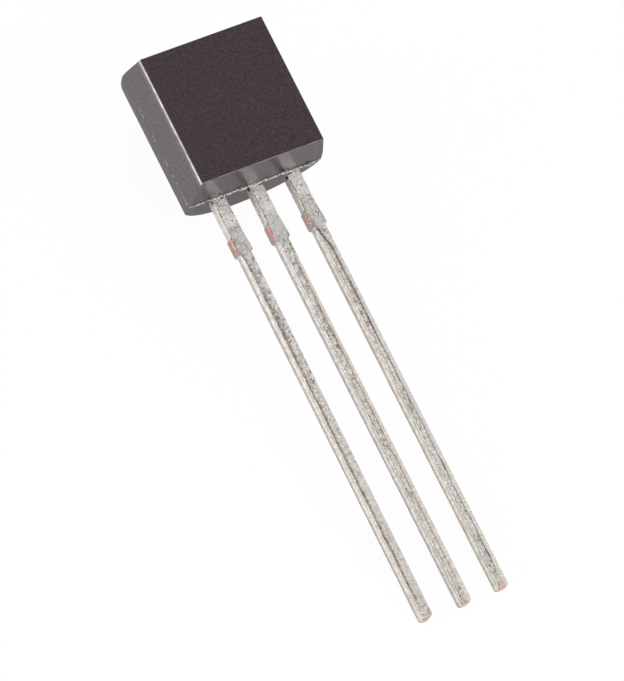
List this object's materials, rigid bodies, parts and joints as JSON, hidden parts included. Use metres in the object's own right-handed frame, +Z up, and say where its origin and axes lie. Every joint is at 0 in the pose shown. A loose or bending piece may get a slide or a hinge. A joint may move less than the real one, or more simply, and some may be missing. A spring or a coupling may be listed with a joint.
{
  "type": "to-92 transistor",
  "caption": "Small moulded transistor with a D-shaped black body, a flat face and a round back, and straight tinned leads in a row for soldering into a circuit board.",
  "frame": {"origin": "on the surface that the part lies on, below the middle of its length and width", "axes": "+X to the right as one looks at the flat, +Y from the lead tips to the body, +Z up and out of the flat, which leans about 7 degrees back"},
  "size_m": [0.0046, 0.0188, 0.0041],
  "materials": {
    "epoxy": "satin",
    "tinned_copper": "satin",
    "silicon": "polished",
    "bond_wire": "polished"
  },
  "bodies": {
    "root": {"body": "epoxy", "left_lead": "tinned_copper", "middle_lead": "tinned_copper", "right_lead": "tinned_copper", "die": "silicon", "left_bond_wire": "bond_wire", "right_bond_wire": "bond_wire"}
  },
  "joints": []
}
